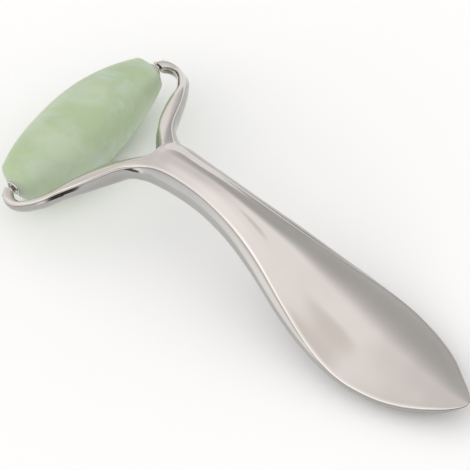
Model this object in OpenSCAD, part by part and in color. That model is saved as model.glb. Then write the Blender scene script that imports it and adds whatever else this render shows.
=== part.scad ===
// Jade face roller: a barrel-shaped stone that turns on two stub pins in a forked, hollow metal handle.
// +X runs along the roller's axis, +Y from the tip of the handle to the roller, +Z up.
// The roller lies on a table on the stone and the paddle, and the origin is under the middle of it.

/* [Stone] */
// Length of the stone
stone_len = 45; // [34:0.5:56]
// Largest diameter of the stone, at its middle
stone_d = 19.5; // [15:0.5:24]
// Diameter of the stone at its shoulders, where the two low end cones begin
stone_shoulder_d = 9.9; // [8:0.1:12.5]
// Height of each end cone along the axis
stone_cone = 1.5; // [0.8:0.1:2.2]
// Radius of the rounded shoulders
stone_edge_r = 0.8; // [0.4:0.1:1.2]

/* [Roller hardware] */
// Diameter of the stub pins
pin_d = 1.2; // [0.8:0.1:1.6]
// Length of each pin inside the stone
pin_in_stone = 6.5; // [4:0.5:9]
// Length of each pin inside its fork arm
pin_in_arm = 1.9; // [1.2:0.1:2]
// Outer diameter of the bushes
bush_d = 2.6; // [2.2:0.1:3]
// Length of the bushes
bush_len = 7; // [5:0.5:10]
// Diameter of the end caps
cap_d = 3.8; // [3.4:0.1:4.6]
// Depth of the end caps in the stone
cap_depth = 0.9; // [0.7:0.1:1.5]
// Height of the end caps above the stone
cap_proud = 0.25; // [0.1:0.05:0.5]
// Wall of the end caps
cap_wall = 0.35; // [0.25:0.05:0.5]
// Diameter of the spacer beads
spacer_d = 2; // [1.9:0.1:2.6]
// Length of the spacer beads
spacer_len = 1; // [0.8:0.1:1.6]

/* [Handle] */
// Distance from the roller's axis to the tip of the handle
reach = 131; // [110:1:160]
// Width of the paddle
paddle_w = 25.2; // [20:0.1:30]
// Width of the neck's front, between its two edges
neck_w = 7.7; // [6.2:0.1:9.4]
// Height of the seam at the top of the neck
neck_h = 25.6; // [21:0.1:31]
// Height of the domed front above the seam, at the paddle
crown = 3.9; // [3:0.1:5]
// Depth of the neck below the seam
neck_depth = 6.6; // [5.4:0.1:8]
// Distance from the roller's axis to the crotch of the fork
fork_depth = 28; // [23:0.5:34]
// Distance that each arm bulges out past its end face
arm_bulge = 3.1; // [2.4:0.1:3.8]
// Width of the end of each arm
arm_end_w = 3.4; // [2.8:0.1:4.2]
// Wall of the hollow part of the handle
wall = 1.6; // [1.2:0.1:2]

/* [Dowels] */
// Diameter of the dowels between the two halves
dowel_d = 1.5; // [1:0.1:1.8]
// Length of the dowels
dowel_len = 2.4; // [1.6:0.1:3]

/* [Fits] */
// Clearance of the pins in the bushes, on the radius
run_gap = 0.03; // [0.01:0.01:0.08]
// Clearance of fixed pins, bushes, caps and dowels in their seats, on the radius
seat_gap = 0.01; // [0.005:0.005:0.03]
// Play of the stone along the axis, at each end
end_play = 0.15; // [0.05:0.05:0.3]

/* [Smoothness] */
// Steps along the handle between two stations
steps = 4; // [2:1:5]
// Steps across half of the handle
across = 10; // [6:1:12]

/* [Hidden] */

axis_z = stone_d / 2;
axis_y = (reach - stone_d / 2) / 2;
arm_end_x = stone_len / 2 + cap_proud + end_play + spacer_len;
fork_half = arm_end_x + arm_bulge;

// One row of the handle holds, for its +X half:
// outer x, outer y, inner x, inner y, seam z, crown above the seam, depth below the seam,
// fork amount (0 in one piece, 1 an arm of its own), flare of the back past the seam edge
// and how far below the seam the back is widest.
function handle_row(along, half_w, seam, rise, depth, flare, drop) =
    [half_w, -along, 0, -along, seam, rise, depth, 0, flare, drop];
// Arm rows take x as a share of the fork's half width, y as a share of the fork's depth,
// and their height as a share of the way from the roller's axis up to the crotch.
function arm_row(out_x, out_y, in_x, in_y, climb, rise, depth, fork, flare) =
    [fork_half * out_x, fork_depth * out_y, fork_half * in_x, fork_depth * in_y,
     axis_z + (crotch_h - axis_z) * climb, rise, depth, fork, flare, 0.4 * depth];
pw = paddle_w / 2;
nw = neck_w / 2;
crotch_h = 0.865 * neck_h;
paddle_h = 0.185 * neck_h;

// From the tip of the paddle to the crotch.
handle_rows = [
    handle_row(reach, 0.015 * pw, 0.345 * neck_h, 0.05, 0.05, 0.02, 0.01),
    handle_row(0.994 * reach, 0.1 * pw, 0.325 * neck_h, 0.12 * crown, 0.09 * neck_depth, 0.03, 0.1),
    handle_row(0.97 * reach, 0.275 * pw, 0.275 * neck_h, 0.28 * crown, 0.28 * neck_depth, 0.04, 0.2),
    handle_row(0.93 * reach, 0.495 * pw, 0.22 * neck_h, 0.5 * crown, 0.5 * neck_depth, 0.05, 0.3),
    handle_row(0.885 * reach, 0.72 * pw, 0.195 * neck_h, 0.7 * crown, 0.62 * neck_depth, 0.05, 0.4),
    handle_row(0.83 * reach, 0.89 * pw, paddle_h, 0.86 * crown, paddle_h, 0.06, 0.5),
    handle_row(0.755 * reach, pw, 0.222 * neck_h, 0.98 * crown, 0.77 * neck_depth, 0.12, 0.8),
    handle_row(0.68 * reach, 0.93 * pw, 0.336 * neck_h, crown, 0.9 * neck_depth, 0.75, 1.7),
    handle_row(0.6 * reach, 0.72 * pw, 0.525 * neck_h, 0.97 * crown, 1.03 * neck_depth, 1.7, 2.7),
    handle_row(0.525 * reach, 0.505 * pw, 0.755 * neck_h, 0.85 * crown, 1.08 * neck_depth, 2.05, 3.1),
    handle_row(0.45 * reach, 1.2 * nw, 0.905 * neck_h, 0.72 * crown, 1.05 * neck_depth, 1.9, 3.2),
    handle_row(0.375 * reach, nw, 0.975 * neck_h, 0.6 * crown, neck_depth, 1.8, 3.1),
    handle_row(0.31 * reach, 0.96 * nw, 0.97 * neck_h, 0.56 * crown, 0.97 * neck_depth, 1.95, 3),
    handle_row(0.26 * reach, 1.07 * nw, 0.94 * neck_h, 0.54 * crown, 0.92 * neck_depth, 1.9, 2.9),
    handle_row(1.05 * fork_depth, 1.31 * nw, 1.01 * crotch_h, 0.5 * crown, 0.84 * neck_depth, 1.3, 2.6),
];
// From the crotch to the end of the arm.
arm_rows = [
    arm_row(0.308, -0.892, 0.055, -1.01, 0.94, 0.46 * crown, 0.77 * neck_depth, 0.3, 0.6),
    arm_row(0.45, -0.795, 0.14, -0.9, 0.87, 0.42 * crown, 0.69 * neck_depth, 0.75, 0.35),
    arm_row(0.605, -0.685, 0.285, -0.725, 0.75, 0.38 * crown, 0.62 * neck_depth, 1, 0.25),
    arm_row(0.75, -0.55, 0.5, -0.575, 0.59, 0.36 * crown, 0.55 * neck_depth, 1, 0.25),
    arm_row(0.862, -0.415, 0.7, -0.445, 0.36, 0.34 * crown, 0.48 * neck_depth, 1, 0.2),
    arm_row(0.943, -0.26, 0.845, -0.3, 0.14, 0.34 * crown, 0.4 * neck_depth, 1, 0.2),
    arm_row(0.986, -0.13, 0.906, -0.2, 0.02, 0.34 * crown, 0.33 * neck_depth, 1, 0.15),
    arm_row(0.978, -0.035, 0.92, -0.14, 0, 0.34 * crown, 0.28 * neck_depth, 1, 0.12),
    arm_row(0.938, 0.028, 0.908, -0.09, 0, 0.34 * crown, 0.25 * neck_depth, 1, 0.1),
    [arm_end_x, arm_end_w / 2, arm_end_x, -arm_end_w / 2, axis_z, 0.34 * crown, 0.24 * neck_depth, 1, 0.1, 0.7],
];
stations = concat(handle_rows, arm_rows);
fork_row = (len(handle_rows) - 1) * steps;

// A smooth curve through the stations (Catmull-Rom).
function curve(a, b, c, d, t) =
    0.5 * (2 * b + (c - a) * t + (2 * a - 5 * b + 4 * c - d) * t * t + (3 * b - a - 3 * c + d) * t * t * t);
function smoothed(list) =
    let (last = len(list) - 1)
    [for (i = [0:last - 1]) for (s = [0:steps - 1])
        curve(list[max(i - 1, 0)], list[i], list[i + 1], list[min(i + 2, last)], s / steps),
     list[last]];
// The two halves stay joined on the middle line until the crotch.
function on_middle(row) = [row[0], row[1], 0, row[1], row[4], row[5], row[6], 0, row[8], row[9]];
smooth_rows = smoothed(stations);
rows = [for (i = [0:len(smooth_rows) - 1]) i <= fork_row ? on_middle(smooth_rows[i]) : smooth_rows[i]];
row_last = len(rows) - 1;

// Shape across one half, t from 0 at the outer edge to 1 at the middle line or the arm's inner edge.
// Each function gives [place across, 0 outer to 1 inner; height off the seam as a share or in mm].
col_mid = across;
col_last = across + 1;
// Height that is left at the inner edge of an arm, as a share of its crown and of its depth
arm_inner_rise = 0.3;
arm_inner_depth = 0.75;
function mix(a, b, t) = a + (b - a) * t;
function inner_round(t, left) = mix(1, left, pow(2 * t - 1, 2.3));
// The front is a dome up to the middle line, or each arm's own low dome.
function front_shape(row, t) =
    let (q = 1 - cos(90 * t))
    [q, row[5] * mix(pow(sin(90 * q), 1.3), q < 0.5 ? pow(sin(180 * q), 0.9) : inner_round(q, arm_inner_rise), row[7])];
// The back leaves the seam edge outwards, is widest a little below it, and closes as half an ellipse.
function back_round(row, width, t) =
    let (
        wide = width + row[8],
        start = acos(width / wide),
        a = start - (start + 90) * t,
        under = row[6] - row[9]
    )
    [1 - wide * cos(a) / width,
     a > 0 ? row[9] * (1 - sin(a) / sin(start)) : row[9] + under * pow(-sin(a), 0.9)];
function back_shape(row, t) =
    let (
        arm_w = norm([row[0] - row[2], row[1] - row[3]]),
        whole = back_round(row, arm_w, t),
        half = back_round(row, arm_w / 2, min(2 * t, 1)),
        arm = t < 0.5 ? [half[0] / 2, half[1]] : [t, row[6] * inner_round(t, arm_inner_depth)]
    )
    mix(whole, arm, row[7]);

// A point on the handle's skin: column j of a row, above the seam (up = 1) or below it (up = -1).
// The last column lies on the seam, straight under or over the one before it.
function skin_point(row, j, up) =
    let (
        t = min(j / across, 1),
        shape = up > 0 ? front_shape(row, t) : back_shape(row, t),
        off_seam = j == col_last ? 0 : shape[1]
    )
    [mix(row[0], row[2], shape[0]), mix(row[1], row[3], shape[0]), row[4] + up * off_seam];

// The hollow runs along the paddle and the neck, from row hollow_first to row hollow_last.
hollow_first = 4 * steps;
hollow_last = 12 * steps;
hollow_cols = 8;
// A point on the roof of the hollow, c from 0 at the +X edge to hollow_cols at the -X edge.
function hollow_point(row, c, up) =
    let (
        a = 180 * c / hollow_cols,
        high = max((up > 0 ? row[5] : row[6]) - wall, 0.3)
    )
    [(row[0] * 0.86 - wall) * cos(a), row[1], row[4] + up * high * pow(sin(a), 0.9)];

module half_shell(up) {
    half_count = (row_last + 1) * (col_last + 1);
    hollow_start = 2 * half_count;
    // The tip is one point, and the two mirrored halves share the points on the middle line.
    function at(side, k, j) =
        k == 0 ? col_last
        : (side < 0 && !(k <= fork_row && j >= col_mid) ? half_count : 0) + k * (col_last + 1) + j;
    // The hollow closes to a point on the middle of the seam at both of its ends.
    function hollow_at(side, k, c) =
        k <= hollow_first || k >= hollow_last ? at(side, k, col_last)
        : hollow_start + (k - hollow_first - 1) * (hollow_cols + 1) + c;
    function seam_inner(side, k) = hollow_at(side, k, side > 0 ? 0 : hollow_cols);
    // Turned over, a quad keeps the same diagonal, so that the two halves meet exactly along the seam.
    function turned(quad, side) = side * up > 0 ? quad : [quad[0], quad[3], quad[2], quad[1]];
    // Two triangles for a quad, without the one that has no area where the quad closes to a point.
    function two(q) = [for (t = [[q[0], q[1], q[2]], [q[0], q[2], q[3]]])
        if (t[0] != t[1] && t[1] != t[2] && t[0] != t[2]) t];
    points = concat(
        [for (side = [1, -1]) for (row = rows) for (j = [0:col_last])
            let (p = skin_point(row, j, up)) [side * p[0], p[1], p[2]]],
        [for (k = [hollow_first + 1:hollow_last - 1]) for (c = [0:hollow_cols]) hollow_point(rows[k], c, up)]
    );
    skin = [for (side = [1, -1]) for (k = [0:row_last - 1]) for (j = [0:(k < fork_row ? col_mid : col_last) - 1])
        each two(turned([at(side, k, j), at(side, k, j + 1), at(side, k + 1, j + 1), at(side, k + 1, j)], side))];
    seam = [for (side = [1, -1]) for (k = [0:row_last - 1])
        each two(turned([at(side, k, 0), at(side, k + 1, 0), seam_inner(side, k + 1), seam_inner(side, k)], side))];
    hollow = [for (k = [hollow_first:hollow_last - 1]) for (c = [0:hollow_cols - 1])
        each two(turned([
            hollow_at(1, k, c), hollow_at(1, k + 1, c), hollow_at(1, k + 1, c + 1), hollow_at(1, k, c + 1)], 1))];
    arm_ends = [for (side = [1, -1])
        let (rim = [for (j = [0:col_last]) at(side, row_last, j)])
        side * up > 0 ? rim : [for (j = [col_last:-1:0]) rim[j]]];
    polyhedron(points, concat(skin, seam, hollow, arm_ends), convexity = 10);
}
// Places of the dowels: in the nose of the paddle, in the neck and in both arms.
function seam_middle(k) =
    let (row = rows[k])
    [(row[0] + row[2]) / 2, (row[1] + row[3]) / 2, row[4]];
arm_dowel = seam_middle((len(handle_rows) + 1) * steps);
dowel_places = [
    [0, rows[3 * steps][1], rows[3 * steps][4]],
    [0, rows[13 * steps][1], rows[13 * steps][4]],
    arm_dowel,
    [-arm_dowel[0], arm_dowel[1], arm_dowel[2]],
];

module dowels(d) {
    for (p = dowel_places)
        translate(p)
            cylinder(d = d, h = dowel_len, center = true, $fn = 24);
}

// Everything along the roller's axis is drawn along +X from the middle of the stone.
module on_axis(side) {
    translate([0, 0, axis_z])
        rotate([0, side > 0 ? 90 : -90, 0])
            children();
}

module pin_seats() {
    for (side = [1, -1])
        on_axis(side)
            translate([0, 0, arm_end_x - 1])
                cylinder(d = pin_d + 2 * seat_gap, h = pin_in_arm + 1, $fn = 24);
}

module shell(up) {
    difference() {
        half_shell(up);
        pin_seats();
        dowels(dowel_d + 2 * seat_gap);
    }
}

// The whole part stands with its middle over the origin.
module placed() {
    translate([0, axis_y, 0])
        children();
}

module front_shell() {
    color([0.85, 0.82, 0.79]) placed() shell(1);
}

module back_shell() {
    color([0.74, 0.72, 0.70]) placed() shell(-1);
}

module shell_dowels() {
    color([0.62, 0.62, 0.64]) placed() dowels(dowel_d);
}

module pivot_pin(side) {
    tip = pin_d * 0.2;
    color([0.70, 0.70, 0.72]) placed() on_axis(side)
        rotate_extrude($fn = 32)
            polygon([
                [0, stone_len / 2 - pin_in_stone],
                [pin_d / 2 - tip, stone_len / 2 - pin_in_stone],
                [pin_d / 2, stone_len / 2 - pin_in_stone + tip],
                [pin_d / 2, arm_end_x + pin_in_arm],
                [0, arm_end_x + pin_in_arm],
            ]);
}

// A round bead with a hole for the pin.
module spacer(side) {
    color([0.88, 0.87, 0.85]) placed() on_axis(side)
        translate([0, 0, arm_end_x - spacer_len / 2])
            rotate_extrude($fn = 32)
                intersection() {
                    translate([pin_d / 2 + seat_gap, -spacer_len / 2])
                        square([spacer_d, spacer_len]);
                    translate([spacer_d / 2 - spacer_len / 2, 0])
                        circle(d = spacer_len, $fn = 24);
                }
}

// The barrel's outline: one large arc between the two shoulders, and a low cone at each end.
// The shoulders are rounded by an arc that meets both.
module stone_outline() {
    half = stone_len / 2;
    shoulder_x = half - stone_cone;
    shoulder_y = stone_shoulder_d / 2;
    sag = stone_d / 2 - shoulder_y;
    arc_r = (shoulder_x * shoulder_x + sag * sag) / (2 * sag);
    arc_y = stone_d / 2 - arc_r;
    rim_y = cap_d / 2;
    cone_turn = atan2(stone_cone, shoulder_y - rim_y);
    arc_turn = asin(shoulder_x / arc_r);
    // Centre of the rounding arc, on the line that halves the corner
    halfway = (90 - cone_turn + arc_turn) / 2;
    spread = (90 - cone_turn - arc_turn) / 2;
    inset = stone_edge_r / cos(spread);
    round_x = shoulder_x - inset * sin(halfway);
    round_y = shoulder_y - inset * cos(halfway);
    edge_steps = 6;
    arc_steps = 36;
    edge = [for (i = [0:edge_steps])
        let (a = mix(90 - cone_turn, arc_turn, i / edge_steps))
        [round_x + stone_edge_r * sin(a), round_y + stone_edge_r * cos(a)]];
    arc_start = edge[edge_steps][0];
    arc = [for (i = [1:arc_steps - 1])
        let (x = arc_r * sin(asin(arc_start / arc_r) * (1 - 2 * i / arc_steps)))
        [x, arc_y + sqrt(arc_r * arc_r - x * x)]];
    far_edge = [for (i = [edge_steps:-1:0]) [-edge[i][0], edge[i][1]]];
    rim = concat([[half, 0], [half, rim_y]], edge, arc, far_edge, [[-half, rim_y], [-half, 0]]);
    // Turned so that the axis of the barrel lies along Y, as rotate_extrude takes it.
    polygon([for (p = rim) [p[1], p[0]]]);
}

module jade_roller() {
    color([0.71, 0.78, 0.64]) placed() on_axis(1)
        difference() {
            rotate_extrude($fn = 96)
                stone_outline();
            cylinder(d = bush_d + 2 * seat_gap, h = stone_len + 2, center = true, $fn = 48);
            for (end = [1, -1])
                translate([0, 0, end * (stone_len / 2 - cap_depth / 2 + 0.5)])
                    cylinder(d = cap_d + 2 * seat_gap, h = cap_depth + 1, center = true, $fn = 48);
        }
}

module bush(side) {
    color([0.93, 0.92, 0.88]) placed() on_axis(side)
        translate([0, 0, stone_len / 2 - cap_depth - bush_len])
            difference() {
                cylinder(d = bush_d, h = bush_len, $fn = 48);
                translate([0, 0, -1])
                    cylinder(d = pin_d + 2 * run_gap, h = bush_len + 2, $fn = 48);
            }
}

// A small cup: its floor lies against the bush, and its rim stands a little proud of the stone.
module end_cap(side) {
    floor_z = stone_len / 2 - cap_depth;
    rim_z = stone_len / 2 + cap_proud;
    hole_r = pin_d / 2 + 0.2;
    color([0.80, 0.79, 0.77]) placed() on_axis(side)
        rotate_extrude($fn = 48)
            polygon([
                [hole_r, floor_z],
                [cap_d / 2, floor_z],
                [cap_d / 2, rim_z],
                [cap_d / 2 - cap_wall, rim_z],
                [cap_d / 2 - cap_wall, floor_z + cap_wall],
                [hole_r, floor_z + cap_wall],
            ]);
}

module left_pivot_pin() {
    pivot_pin(-1);
}

module right_pivot_pin() {
    pivot_pin(1);
}

module left_spacer() {
    spacer(-1);
}

module right_spacer() {
    spacer(1);
}

module left_bush() {
    bush(-1);
}

module right_bush() {
    bush(1);
}

module left_end_cap() {
    end_cap(-1);
}

module right_end_cap() {
    end_cap(1);
}

front_shell();
back_shell();
shell_dowels();
left_pivot_pin();
right_pivot_pin();
left_spacer();
right_spacer();
jade_roller();
left_bush();
right_bush();
left_end_cap();
right_end_cap();
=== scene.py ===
import math

import bmesh
import bpy
from mathutils import Matrix, Vector


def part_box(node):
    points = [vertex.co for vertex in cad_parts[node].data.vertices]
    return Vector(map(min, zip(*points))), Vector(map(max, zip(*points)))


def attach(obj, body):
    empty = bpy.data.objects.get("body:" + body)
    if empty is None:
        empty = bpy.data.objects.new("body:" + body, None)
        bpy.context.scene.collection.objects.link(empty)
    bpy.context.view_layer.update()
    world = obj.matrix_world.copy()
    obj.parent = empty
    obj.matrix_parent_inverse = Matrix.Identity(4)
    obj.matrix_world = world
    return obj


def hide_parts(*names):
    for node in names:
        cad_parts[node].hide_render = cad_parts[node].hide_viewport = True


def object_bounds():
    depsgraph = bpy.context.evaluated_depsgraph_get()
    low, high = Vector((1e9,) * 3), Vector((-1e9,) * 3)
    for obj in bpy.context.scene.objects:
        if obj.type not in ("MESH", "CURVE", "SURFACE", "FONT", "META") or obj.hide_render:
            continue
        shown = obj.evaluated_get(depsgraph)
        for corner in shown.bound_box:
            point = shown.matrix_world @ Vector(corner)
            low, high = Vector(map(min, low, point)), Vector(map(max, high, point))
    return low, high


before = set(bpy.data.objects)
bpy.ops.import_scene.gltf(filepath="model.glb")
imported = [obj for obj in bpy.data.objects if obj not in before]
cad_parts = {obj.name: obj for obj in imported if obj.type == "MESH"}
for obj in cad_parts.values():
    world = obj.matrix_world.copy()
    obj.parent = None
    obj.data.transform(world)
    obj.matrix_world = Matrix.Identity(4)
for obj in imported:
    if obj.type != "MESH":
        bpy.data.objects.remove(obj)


def plain_box(corners):
    return [[float(v) for v in corner] for corner in corners]


cad_box = plain_box(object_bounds())
MM = 0.001

# ---------------------------------------------------------------- shader tools


class Socket:
    """A shader socket that Python's own operators work on."""

    def __init__(self, shader, out):
        self.shader, self.out = shader, out

    def math(self, operation, *terms):
        return self.shader.node("ShaderNodeMath", {"operation": operation}, dict(enumerate(terms)))

    def __add__(self, other):
        return self.math("ADD", self, other)

    __radd__ = __add__

    def __sub__(self, other):
        return self.math("SUBTRACT", self, other)

    def __mul__(self, other):
        return self.math("MULTIPLY", self, other)

    __rmul__ = __mul__


class Shader:
    """One node tree, and short ways to fill it."""

    def __init__(self, tree):
        self.tree = tree
        tree.nodes.clear()

    def node(self, kind, settings=None, inputs=None, output=0):
        made = self.tree.nodes.new(kind)
        for name, value in (settings or {}).items():
            setattr(made, name, value)
        for name, value in (inputs or {}).items():
            if isinstance(value, Socket):
                self.tree.links.new(value.out, made.inputs[name])
            else:
                made.inputs[name].default_value = value
        return Socket(self, made.outputs[output]) if len(made.outputs) else made

    def place(self, kind="Object"):
        return self.node("ShaderNodeTexCoord", output=kind)

    def stretched(self, vector, scale, turn=(0.0, 0.0, 0.0)):
        return self.node("ShaderNodeMapping", None, {"Vector": vector, "Scale": scale, "Rotation": turn})

    def noise(self, vector, scale, detail=3.0, rough=0.5, output="Fac"):
        return self.node(
            "ShaderNodeTexNoise",
            None,
            {"Vector": vector, "Scale": scale, "Detail": detail, "Roughness": rough},
            output,
        )

    def mix(self, amount, first, second, blend="MIX"):
        """Colours go through Mix, and sockets 6 and 7 are its two colours."""
        return self.node(
            "ShaderNodeMix",
            {"data_type": "RGBA", "blend_type": blend, "clamp_factor": True},
            {0: amount, 6: first, 7: second},
            2,
        )

    def step(self, value, low, high, start=0.0, end=1.0):
        """Goes smoothly from start to end as value goes from low to high."""
        return self.node(
            "ShaderNodeMapRange",
            {"interpolation_type": "SMOOTHSTEP"},
            {"Value": value, "From Min": low, "From Max": high, "To Min": start, "To Max": end},
        )

    def bump(self, height, strength, distance):
        return self.node(
            "ShaderNodeBump", None, {"Height": height, "Strength": strength, "Distance": distance}, "Normal"
        )


def rgb(r, g, b):
    return (r, g, b, 1.0)


def finish_of(name):
    material = bpy.data.materials.new(name)
    material.use_nodes = True
    return material, Shader(material.node_tree)


def surface(shader, **inputs):
    """A Principled shader as the whole surface. Names of its sockets are given with _ for a space."""
    bsdf = shader.node("ShaderNodeBsdfPrincipled", None, {k.replace("_", " "): v for k, v in inputs.items()})
    shader.node("ShaderNodeOutputMaterial", None, {"Surface": bsdf})


# ------------------------------------------------------------------- finishes


def plated_finish(name, tone, shade, roughness, coarse):
    """Polished plating: faint cloudiness, hairlines from the polishing wheel and handling marks."""
    material, s = finish_of(name)
    at = s.place()
    cloud = s.noise(at, 55.0, 3.0, 0.55)
    hair = s.noise(s.stretched(at, (2600.0, 180.0, 2600.0)), 1.0, 2.0, 0.6)
    marks = s.noise(s.stretched(at, (900.0, 260.0, 900.0), (0.0, 0.0, 0.5)), 1.0, 1.0, 0.4)
    tint = s.step(cloud, 0.35, 0.68)
    colour = s.mix(tint, tone, shade)
    rough = roughness + coarse * (cloud - 0.5) + 0.05 * coarse * s.step(marks, 0.62, 0.75)
    height = hair + 0.5 * cloud
    surface(
        s,
        Base_Color=colour,
        Metallic=1.0,
        Roughness=rough,
        Normal=s.bump(height, 0.02, 0.00002),
    )
    return material


def steel_finish():
    """Turned steel: rings round the axis."""
    material, s = finish_of("turned_steel")
    at = s.place()
    rings = s.noise(s.stretched(at, (9000.0, 300.0, 300.0)), 1.0, 2.0, 0.5)
    cloud = s.noise(at, 420.0, 2.0)
    surface(
        s,
        Base_Color=s.mix(cloud, rgb(0.52, 0.51, 0.50), rgb(0.66, 0.65, 0.64)),
        Metallic=1.0,
        Roughness=0.2 + 0.18 * rings,
        Normal=s.bump(rings, 0.12, 0.00003),
    )
    return material


def bush_finish():
    """Moulded plastic with a fine matte grain."""
    material, s = finish_of("bush_plastic")
    grain = s.noise(s.place(), 5200.0, 3.0, 0.6)
    cloud = s.noise(s.place(), 300.0)
    surface(
        s,
        Base_Color=s.mix(cloud, rgb(0.80, 0.79, 0.75), rgb(0.86, 0.85, 0.82)),
        Roughness=0.5 + 0.15 * grain,
        Normal=s.bump(grain, 0.25, 0.00003),
    )
    return material


def seam_shade_finish():
    """The hairline groove between the two shells, painted near-black as painted shade for the shadow inside the groove.
    """
    material, s = finish_of("seam_line_painted_shade")
    speck = s.noise(s.place(), 900.0, 2.0)
    surface(
        s,
        Base_Color=s.mix(speck, rgb(0.030, 0.024, 0.021), rgb(0.075, 0.062, 0.054)),
        Roughness=0.55 + 0.2 * speck,
    )
    return material


def jade_finish():
    """Polished pale jade: soft clouds and streaks in the stone, under a satin polish."""
    material, s = finish_of("jade_stone")
    at = s.place()
    long = s.stretched(at, (62.0, 46.0, 60.0), (0.5, 0.2, 0.9))
    drift = s.noise(at, 60.0, 2.0, output="Color")
    swirled = s.mix(0.12, long, drift, "ADD")
    clouds = s.noise(swirled, 1.6, 4.0, 0.52)
    veils = s.noise(s.stretched(swirled, (1.0, 2.6, 1.4)), 1.9, 5.0, 0.6)
    flecks = s.noise(at, 620.0, 3.0, 0.6)
    streaks = s.noise(s.stretched(swirled, (0.7, 3.4, 2.2), (0.3, 0.6, 0.1)), 2.4, 4.0, 0.55)
    base = s.mix(s.step(clouds, 0.38, 0.62), rgb(0.435, 0.54, 0.34), rgb(0.51, 0.60, 0.43))
    warm = s.mix(s.step(streaks, 0.54, 0.70) * 0.45, base, rgb(0.45, 0.54, 0.285))
    cool = s.mix(s.step(veils, 0.48, 0.68) * 0.7, warm, rgb(0.49, 0.59, 0.48))
    pale = s.mix(s.step(veils, 0.58, 0.78) * 0.45, cool, rgb(0.59, 0.67, 0.58))
    colour = s.mix(s.step(flecks, 0.60, 0.80) * 0.25, pale, rgb(0.60, 0.70, 0.55))
    surface(
        s,
        Base_Color=colour,
        Roughness=0.40 + 0.12 * (clouds - 0.5) + 0.05 * flecks,
        Subsurface_Weight=0.35,
        Subsurface_Radius=(0.006, 0.008, 0.005),
        Subsurface_Scale=0.6,
        Specular_IOR_Level=0.45,
        Coat_Weight=0.10,
        Coat_Roughness=0.25,
        Normal=s.bump(0.6 * clouds + 0.4 * flecks, 0.10, 0.0001),
    )
    return material


front_plate = plated_finish("front_plating", rgb(0.68, 0.635, 0.605), rgb(0.65, 0.605, 0.575), 0.13, 0.05)
# The back shell has the same plating as the front, painted darker as painted shade for the dimmer surroundings its
# sides reflect.
back_plate_painted_shade = plated_finish("back_plating_painted_shade", rgb(0.45, 0.44, 0.425), rgb(0.425, 0.415, 0.40), 0.14, 0.05)
trim_plate = plated_finish("trim_plating", rgb(0.70, 0.68, 0.66), rgb(0.60, 0.585, 0.57), 0.16, 0.10)
steel = steel_finish()
bush_plastic = bush_finish()
painted_seam_shade = seam_shade_finish()
jade = jade_finish()

# ---------------------------------------------------------- the handle's shape

# The handle is drawn in millimetres with the roller's axis at y = 0, as the CAD source draws it.
stone_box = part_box("jade_roller")
stone_middle = (stone_box[0] + stone_box[1]) / 2
stone_size = (stone_box[1] - stone_box[0]) / MM
axis_z = stone_middle.z / MM
axis_y = stone_middle.y / MM
bounds_low, bounds_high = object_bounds()
reach = axis_y - bounds_low.y / MM
arm_end_x = stone_size.x / 2 + 1.4
fork_half = arm_end_x + 3.1
paddle_w, neck_w, neck_h, crown = 25.2, 7.7, 25.6, 3.9
neck_depth, fork_depth, arm_end_w = 6.6, 28.0, 3.4
pw, nw = paddle_w / 2, neck_w / 2
crotch_h, paddle_h = 0.865 * neck_h, 0.185 * neck_h
crotch_y = 1.05 * fork_depth


def handle_row(along, half_w, seam, rise, depth, flare, drop):
    return (half_w, -along, 0.0, -along, seam, rise, depth, 0.0, flare, drop, 0.0)


def arm_row(out_x, out_y, in_x, in_y, climb, rise, depth, fork, flare, web):
    seam = axis_z + (crotch_h - axis_z) * climb
    outer, inner = (fork_half * out_x, fork_depth * out_y), (fork_half * in_x, fork_depth * in_y)
    return (*outer, *inner, seam, rise, depth, fork, flare, 0.28 * depth, web)


stations = [
    handle_row(reach, 0.015 * pw, 0.345 * neck_h, 0.05, 0.05, 0.02, 0.01),
    handle_row(0.994 * reach, 0.1 * pw, 0.325 * neck_h, 0.12 * crown, 0.09 * neck_depth, 0.03, 0.1),
    handle_row(0.97 * reach, 0.275 * pw, 0.275 * neck_h, 0.28 * crown, 0.28 * neck_depth, 0.04, 0.2),
    handle_row(0.93 * reach, 0.495 * pw, 0.22 * neck_h, 0.5 * crown, 0.5 * neck_depth, 0.05, 0.3),
    handle_row(0.885 * reach, 0.72 * pw, 0.195 * neck_h, 0.7 * crown, 0.62 * neck_depth, 0.05, 0.4),
    handle_row(0.83 * reach, 0.89 * pw, paddle_h, 0.86 * crown, paddle_h, 0.06, 0.5),
    handle_row(0.755 * reach, pw, 0.222 * neck_h, 0.98 * crown, 0.77 * neck_depth, 0.12, 0.8),
    handle_row(0.68 * reach, 0.93 * pw, 0.336 * neck_h, crown, 0.9 * neck_depth, 0.75, 1.7),
    handle_row(0.6 * reach, 0.72 * pw, 0.525 * neck_h, 0.97 * crown, 1.03 * neck_depth, 1.7, 2.7),
    handle_row(0.525 * reach, 0.505 * pw, 0.755 * neck_h, 0.85 * crown, 1.08 * neck_depth, 2.05, 3.1),
    handle_row(0.45 * reach, 1.2 * nw, 0.905 * neck_h, 0.72 * crown, 1.05 * neck_depth, 1.9, 3.2),
    handle_row(0.375 * reach, nw, 0.975 * neck_h, 0.6 * crown, neck_depth, 1.8, 3.1),
    handle_row(0.31 * reach, 0.96 * nw, 0.97 * neck_h, 0.56 * crown, 0.97 * neck_depth, 1.95, 3.0),
    handle_row(0.26 * reach, 1.07 * nw, 0.94 * neck_h, 0.54 * crown, 0.92 * neck_depth, 1.9, 2.9),
    handle_row(crotch_y, 1.31 * nw, 1.01 * crotch_h, 0.5 * crown, 0.84 * neck_depth, 1.3, 2.6),
]
crotch = len(stations) - 1
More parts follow.
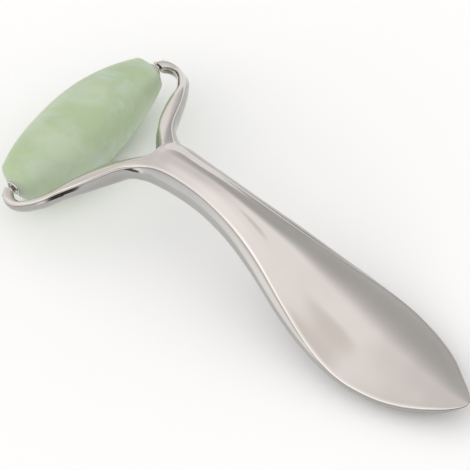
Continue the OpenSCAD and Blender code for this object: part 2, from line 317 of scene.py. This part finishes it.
arm_stations = [
    arm_row(0.308, -0.892, 0.055, -1.01, 0.94, 0.46 * crown, 0.77 * neck_depth, 0.3, 1.0, 1.9),
    arm_row(0.45, -0.795, 0.14, -0.9, 0.87, 0.42 * crown, 0.69 * neck_depth, 0.8, 0.9, 1.5),
    arm_row(0.605, -0.685, 0.285, -0.725, 0.75, 0.38 * crown, 0.62 * neck_depth, 1.0, 0.8, 0.9),
    arm_row(0.75, -0.55, 0.5, -0.575, 0.59, 0.36 * crown, 0.55 * neck_depth, 1.0, 0.7, 0.45),
    arm_row(0.862, -0.415, 0.7, -0.445, 0.36, 0.34 * crown, 0.48 * neck_depth, 1.0, 0.57, 0.3),
    arm_row(0.943, -0.26, 0.845, -0.3, 0.14, 0.34 * crown, 0.4 * neck_depth, 1.0, 0.3, 0.2),
    arm_row(0.986, -0.13, 0.906, -0.2, 0.02, 0.34 * crown, 0.33 * neck_depth, 1.0, 0.15, 0.15),
    arm_row(0.978, -0.035, 0.92, -0.14, 0.0, 0.34 * crown, 0.28 * neck_depth, 1.0, 0.12, 0.1),
    arm_row(0.938, 0.028, 0.908, -0.09, 0.0, 0.34 * crown, 0.25 * neck_depth, 1.0, 0.1, 0.1),
    (arm_end_x, arm_end_w / 2, arm_end_x, -arm_end_w / 2, axis_z, 0.34 * crown, 0.24 * neck_depth, 1.0, 0.1, 0.7, 0.0),
]
# The inner edges of the two arms run into each other: the row before the crotch mirrors the row after it.
before = list(stations[crotch - 1])
before[2], before[3] = -arm_stations[0][2], arm_stations[0][3]
stations[crotch - 1] = tuple(before)
stations[crotch] = (*stations[crotch][:10], 2.0)
stations += arm_stations
STEPS = 12
ACROSS = 30
GROOVE = 0.07
GROOVE_DEEP = 0.28
WALL = 8
ARM_INNER_RISE = 0.3
ARM_INNER_DEPTH = 0.6


def mix(a, b, t):
    return a + (b - a) * t


def curve(a, b, c, d, t):
    return 0.5 * (2 * b + (c - a) * t + (2 * a - 5 * b + 4 * c - d) * t**2 + (3 * b - a - 3 * c + d) * t**3)


def smoothed(rows, steps):
    """A smooth curve through the stations."""
    last = len(rows) - 1
    fine = []
    for i in range(last):
        four = rows[max(i - 1, 0)], rows[i], rows[i + 1], rows[min(i + 2, last)]
        fine += [[curve(*values, s / steps) for values in zip(*four)] for s in range(steps)]
    fine.append(list(rows[last]))
    return fine


def eased(rows, reach_steps, rounds):
    """Averages every row with its neighbours; the end rows stay."""
    for _ in range(rounds):
        old = [list(row) for row in rows]
        for k in range(1, len(rows) - 1):
            wide = min(reach_steps, k, len(rows) - 1 - k)
            near = old[k - wide : k + wide + 1]
            rows[k] = [sum(values) / len(near) for values in zip(*near)]
    return rows


rows = eased(smoothed(stations, STEPS), STEPS // 4, 2)
fork_row = crotch * STEPS
row_last = len(rows) - 1
gap_ward = []
for k in range(row_last + 1):
    near, far = rows[max(k - 1, fork_row)], rows[min(k + 1, row_last)]
    run = Vector((far[2] - near[2], far[3] - near[3])) if k > fork_row else Vector((1.0, 0.0))
    gap_ward.append(Vector((-run.y, run.x, 0.0)).normalized())
for k in range(fork_row + 1):
    rows[k][2], rows[k][3], rows[k][7] = 0.0, rows[k][1], 0.0


def lip(row):
    """Width and height of the rounded edge that the front has along the seam."""
    wide = math.dist(row[:2], row[2:4])
    size = min(0.16 * wide, 0.9)
    return size, 0.55 * min(size, row[5])


def front_height(row, q):
    width = math.dist(row[:2], row[2:4])
    lip_w, lip_h = lip(row)
    edge = lip_h * math.sqrt(max(0.0, 1 - (1 - min(q * width / max(lip_w, 1e-6), 1.0)) ** 2))
    dome = math.sin(math.pi / 2 * q) ** 1.3
    if q < 0.5:
        arm = math.sin(math.pi * q) ** 0.9
    else:
        arm = mix(ARM_INNER_RISE, 1.0, (1 - (2 * q - 1) ** 2.3) ** 0.55)
    low = min(GROOVE, 0.3 * row[5])
    return low + edge + (row[5] - low - lip_h) * mix(dome, arm, row[7])


def back_round(row, width, t, flat):
    """Leaves the seam edge outwards, as an arc or as a flat bevel, and closes as half an ellipse."""
    wide = width + row[8]
    start = math.acos(width / wide)
    a = start - (start + math.pi / 2) * t
    if a > 0:
        fall = 1 - math.sin(a) / math.sin(start)
        out = mix(wide * math.cos(a) - width, row[8] * fall, flat)
        return -out / width, row[9] * fall
    return 1 - wide * math.cos(a) / width, row[9] + (row[6] - row[9]) * (-math.sin(a)) ** 0.9


def back_point(row, t):
    width = max(math.dist(row[:2], row[2:4]), 0.01)
    place, low = back_round(row, width, t, row[7])
    half_place, half_low = back_round(row, width / 2, min(2 * t, 1.0), 1.0)
    if t < 0.5:
        arm_place, arm_low = half_place / 2, half_low
    else:
        u = 2 * t - 1
        arm_place = mix(0.5, 1.0, math.sin(math.pi / 2 * u))
        arm_low = row[6] * mix(ARM_INNER_DEPTH, 1.0, (1 - math.sin(math.pi / 2 * u) ** 2.3) ** 0.55)
    groove = min(GROOVE, 0.3 * row[6])
    low = max(mix(low, arm_low, row[7]), 0.0)
    return mix(place, arm_place, row[7]), groove + (row[6] - groove) / row[6] * low


def ease(t):
    return t * t * (3 - 2 * t)


def section(k, up):
    """Points of one half's section in its own half: groove floor, skin from the outer edge, inner wall.
    Below the seam the side towards the gap of the fork swells out by the row's web."""
    row = rows[k]
    width = max(math.dist(row[:2], row[2:4]), 1e-6)
    inset = min(GROOVE_DEEP / width, 0.3)
    web = row[10] if up < 0 else 0.0

    def point(place, off_seam, swell=0.0):
        across = Vector((mix(row[0], row[2], place), mix(row[1], row[3], place), row[4] + up * off_seam))
        return across + swell * web * gap_ward[k]

    points = [point(inset, 0.0)]
    for j in range(ACROSS + 1):
        t = j / ACROSS
        if up > 0:
            whole, arm = 1 - math.cos(math.pi / 2 * t), (1 - math.cos(math.pi * t)) / 2
            q = mix(whole, arm, row[7])
            points.append(point(q, front_height(row, q)))
        else:
            place, low = back_point(row, t)
            points.append(point(place, low, ease(max(0.0, 2 * place - 1))))
    wall = abs(points[-1].z - row[4])
    low = min(GROOVE, 0.3 * wall)
    for i in range(1, WALL + 1):
        g = i / WALL
        points.append(point(1.0, mix(wall, low, g), max(0.0, math.cos(math.pi / 2 * g)) ** 0.8))
    points.append(point(1 - inset, 0.0))
    return points


def mesh_piece(name, faces, points, materials):
    """A smooth mesh from points in millimetres; faces are (corners, material index)."""
    mesh = bpy.data.meshes.new(name)
    shift = Vector((0.0, axis_y, 0.0))
    mesh.from_pydata([(p + shift) * MM for p in points], [], [corners for corners, _ in faces])
    for polygon, (_, index) in zip(mesh.polygons, faces):
        polygon.material_index = index
        polygon.use_smooth = True
    for material in materials:
        mesh.materials.append(material)
    piece = bpy.data.objects.new(name, mesh)
    bpy.context.scene.collection.objects.link(piece)
    return piece


def tidy_mesh(piece, sharp_angle):
    """Welds the points that meet, turns the faces outwards and marks the sharp edges."""
    bm = bmesh.new()
    bm.from_mesh(piece.data)
    bmesh.ops.remove_doubles(bm, verts=bm.verts, dist=2e-6)
    bmesh.ops.delete(bm, geom=[v for v in bm.verts if not v.link_faces], context="VERTS")
    bmesh.ops.recalc_face_normals(bm, faces=bm.faces)
    for edge in bm.edges:
        if len(edge.link_faces) == 2 and edge.calc_face_angle(0.0) > math.radians(sharp_angle):
            edge.smooth = False
    bm.to_mesh(piece.data)
    bm.free()
    return piece


def shell(name, up, plate):
    """Half of the handle: a closed skin with a hairline groove along the seam."""
    count = ACROSS + WALL + 3
    wall_start = ACROSS + 1
    points, faces = [], []
    for side in (1, -1):
        for k in range(row_last + 1):
            for p in section(k, up):
                points.append(Vector((side * p.x, p.y, p.z)))
    half = len(rows) * count

    def at(side, k, j):
        if k < fork_row and j > wall_start:
            j = count - 1
        return (half if side < 0 else 0) + k * count + j

    for side in (1, -1):
        for k in range(row_last):
            for j in range(count - 1):
                if k < fork_row and j >= wall_start:
                    continue
                # The groove's two walls and the seam face between the shells take material 1, the near-black painted
                # shade.
                groove = j == 0 or j == count - 2
                corners = [at(side, k, j), at(side, k, j + 1), at(side, k + 1, j + 1), at(side, k + 1, j)]
                corners = list(dict.fromkeys(corners))
                if len(corners) > 2:
                    faces.append((corners if side * up > 0 else corners[::-1], 1 if groove else 0))
            seam = [at(side, k, 0), at(side, k + 1, 0), at(side, k + 1, count - 1), at(side, k, count - 1)]
            faces.append((seam if side * up > 0 else seam[::-1], 1))
        end = [at(side, row_last, j) for j in range(count)]
        faces.append((end, 0))
    # On the middle line the last column of each half is one line of points on the seam.
    for k in range(fork_row + 1):
        for side in (1, -1):
            points[at(side, k, count - 1)] = Vector((0.0, rows[k][1], rows[k][4]))
    # The tip of the paddle is one point.
    for side in (1, -1):
        for j in range(count):
            points[at(side, 0, j)] = Vector((0.0, rows[0][1], rows[0][4]))
    piece = mesh_piece(name, faces, points, [plate, painted_seam_shade])
    return tidy_mesh(piece, 34)


front = shell("front_shell_skin", 1, front_plate)
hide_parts("front_shell")
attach(front, "handle")
back = shell("back_shell_skin", -1, back_plate_painted_shade)
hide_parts("back_shell")
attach(back, "handle")

# ------------------------------------------------------------------- the roller


def turned(name, outline, turns, materials, wobble=None, bands=None):
    """A closed outline of (along, radius) in millimetres, turned about the roller's axis."""
    points, faces, ring = [], [], len(outline)
    for i in range(turns):
        a = 2 * math.pi * i / turns
        for n, (along, radius) in enumerate(outline):
            p = Vector((along, radius * math.cos(a), axis_z + radius * math.sin(a)))
            points.append(wobble(p, along, radius, a) if wobble else p)
    for i in range(turns):
        for n in range(ring - 1):
            a, b = i * ring + n, ((i + 1) % turns) * ring + n
            faces.append(([a, a + 1, b + 1, b], bands(n) if bands else 0))
    return tidy_mesh(mesh_piece(name, faces, points, materials), 40)


def stone_outline(hole_r, seat_r, seat_depth):
    half, largest = stone_size.x / 2, stone_size.z / 2
    cone, shoulder_y, edge_r = 1.5, 9.9 / 2, 0.8
    shoulder_x = half - cone
    sag = largest - shoulder_y
    arc_r = (shoulder_x**2 + sag**2) / (2 * sag)
    arc_y = largest - arc_r
    rim_y = seat_r
    cone_turn = math.atan2(cone, shoulder_y - rim_y)
    arc_turn = math.asin(shoulder_x / arc_r)
    halfway = (math.pi / 2 - cone_turn + arc_turn) / 2
    spread = (math.pi / 2 - cone_turn - arc_turn) / 2
    inset = edge_r / math.cos(spread)
    round_x, round_y = shoulder_x - inset * math.sin(halfway), shoulder_y - inset * math.cos(halfway)
    edge = []
    for i in range(13):
        a = mix(math.pi / 2 - cone_turn, arc_turn, i / 12)
        edge.append((round_x + edge_r * math.sin(a), round_y + edge_r * math.cos(a)))
    start = edge[-1][0]
    arc = []
    for i in range(1, 72):
        x = arc_r * math.sin(math.asin(start / arc_r) * (1 - 2 * i / 72))
        arc.append((x, arc_y + math.sqrt(arc_r**2 - x**2)))
    cone_face = [(mix(half, edge[0][0], f), mix(rim_y, edge[0][1], f)) for f in (0.04, 0.3, 0.6, 0.9)]
    right = [(half - 0.05, rim_y), *cone_face, *edge]
    left = [(-x, y) for x, y in reversed(right)]
    seat = half - seat_depth
    bore = [(-seat, seat_r), (-seat, hole_r), (seat, hole_r), (seat, seat_r), (half - 0.05, rim_y)]
    return right + arc + left + bore


cap_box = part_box("right_end_cap")
bush_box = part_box("right_bush")
cap_r = (cap_box[1].z - cap_box[0].z) / 2 / MM
bush_r = (bush_box[1].z - bush_box[0].z) / 2 / MM
cap_floor = stone_size.x / 2 - cap_box[0].x / MM
cap_rim = cap_box[1].x / MM - stone_size.x / 2


def hand_cut(p, along, radius, a):
    """A stone that is ground by hand isn't quite round."""
    if radius < cap_r + 0.1:
        return p
    share = min(1.0, (radius - cap_r - 0.1) / 2.5)
    wave = 0.5 * math.sin(2 * a + 0.09 * along) + 0.3 * math.sin(3 * a - 0.21 * along + 1.0)
    trim = 0.08 * share * (wave - 0.8)
    worn_side = max(0.0, math.cos(a - math.radians(217))) ** 1.5
    trim -= 0.85 * share * worn_side * ease(min(1.0, max(0.0, (along + 8) / 22)))
    full_side = max(0.0, math.cos(a - math.radians(37))) ** 1.5
    trim += 0.7 * share * full_side * ease(min(1.0, max(0.0, (-along - 4) / 16)))
    return Vector((p.x, p.y + trim * math.cos(a), p.z + trim * math.sin(a)))


stone = turned("jade_stone", stone_outline(bush_r + 0.01, cap_r + 0.01, cap_floor), 160, [jade], hand_cut)
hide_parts("jade_roller")
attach(stone, "roller")


def cap_outline(side):
    """A pressed cup: rolled rim, dished floor, and a lipped hole for the pin."""
    half = stone_size.x / 2
    floor, rim = half - cap_floor, half + cap_rim
    wall, hole = 0.35, 0.8
    roll = wall / 2
    top = []
    for i in range(9):
        a = math.pi * i / 8
        top.append((rim - roll + roll * math.sin(a), cap_r - roll + roll * math.cos(a)))
    bowl = []
    for i in range(1, 9):
        a = math.pi / 2 * i / 8
        bowl.append((floor + wall + 0.45 * (1 - math.sin(a)), cap_r - wall - 0.45 * (1 - math.cos(a))))
    outline = [(floor, hole), (floor, cap_r), *top, *bowl, (floor + wall, hole + 0.2), (floor + wall, hole), (floor, hole)]
    return [(side * x, y) for x, y in outline]


for label, side in (("left", -1), ("right", 1)):
    cap = turned(f"{label}_cap_cup", cap_outline(side), 64, [trim_plate])
    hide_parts(f"{label}_end_cap")
    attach(cap, "roller")


# ------------------------------------------------------------- carried-over CAD


def refinish(node, material):
    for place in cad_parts[node].material_slots:
        place.material = material


for label in ("left", "right"):
    refinish(f"{label}_pivot_pin", steel)
    refinish(f"{label}_spacer", trim_plate)
    refinish(f"{label}_bush", bush_plastic)
refinish("shell_dowels", steel)

# --------------------------------------------------------------------- studio

floor_z = cad_box[0][2]
size = 6.0
floor_mesh = bpy.data.meshes.new("floor")
floor_mesh.from_pydata(
    [(-size, -size, floor_z), (size, -size, floor_z), (size, size, floor_z), (-size, size, floor_z)], [], [(0, 1, 2, 3)]
)
floor = bpy.data.objects.new("floor", floor_mesh)
bpy.context.scene.collection.objects.link(floor)
floor_paint, s = finish_of("floor_paint")
surface(s, Base_Color=rgb(0.985, 0.985, 0.985), Roughness=0.9, Specular_IOR_Level=0.0)
floor_mesh.materials.append(floor_paint)

world = bpy.data.worlds.new("studio")
bpy.context.scene.world = world
world.use_nodes = True
s = Shader(world.node_tree)
toward = s.place("Generated")


def heading(azimuth, height):
    """A direction from the object: azimuth 0 is +Y and 90 is +X, in degrees."""
    a, e = math.radians(azimuth), math.radians(height)
    return (math.sin(a) * math.cos(e), math.cos(a) * math.cos(e), math.sin(e))


def panel(azimuth, height, full, none):
    """1 inside a round panel, fading to 0 between two angles from its middle."""
    facing = s.node("ShaderNodeVectorMath", {"operation": "DOT_PRODUCT"}, {0: toward, 1: heading(azimuth, height)}, "Value")
    return s.step(facing, math.cos(math.radians(none)), math.cos(math.radians(full)))


climb = s.node("ShaderNodeSeparateXYZ", None, {0: toward}, "Z")
tent = s.mix(s.step(climb, 0.5, 0.9), rgb(1.04, 1.04, 1.04), rgb(0.93, 0.92, 0.91))
tent = s.mix(panel(5, 36, 12, 48), tent, rgb(0.74, 0.73, 0.73))
tent = s.mix(panel(72, 8, 14, 58), tent, rgb(0.44, 0.45, 0.45))
tent = s.mix(panel(-90, 14, 14, 36), tent, rgb(1.42, 1.38, 1.34))
tent = s.mix(panel(-88, 76, 2, 13) * 0.8, tent, rgb(0.70, 0.66, 0.64))
gap = panel(-127, 5, 46, 57) * s.step(climb, 0.0, 0.02) * s.step(climb, 0.30, 0.20)
tent = s.mix(gap, tent, rgb(0.02, 0.02, 0.02))
light = s.node("ShaderNodeBackground", None, {"Color": tent, "Strength": 1.16})
s.node("ShaderNodeOutputWorld", None, {"Surface": light})

bpy.context.scene.view_settings.view_transform = "Standard"

# --------------------------------------------------------------------- camera

AWAY = 4.0
turn = Matrix(((0.7193, 0.6063, -0.3391), (-0.6695, 0.4747, -0.5713), (-0.1855, 0.6379, 0.7474)))
target = Vector((10.48, 25.65, -12.28)) * MM
camera_data = bpy.data.cameras.new("camera")
camera_data.sensor_width = 36.0
camera_data.lens = 36.0 / (470 / 4.328 * MM) * AWAY
camera_data.clip_start, camera_data.clip_end = 0.01, 50.0
camera = bpy.data.objects.new("camera", camera_data)
camera.matrix_world = Matrix.Translation(target + AWAY * turn.col[2]) @ turn.to_4x4()
bpy.context.scene.collection.objects.link(camera)
bpy.context.scene.camera = camera
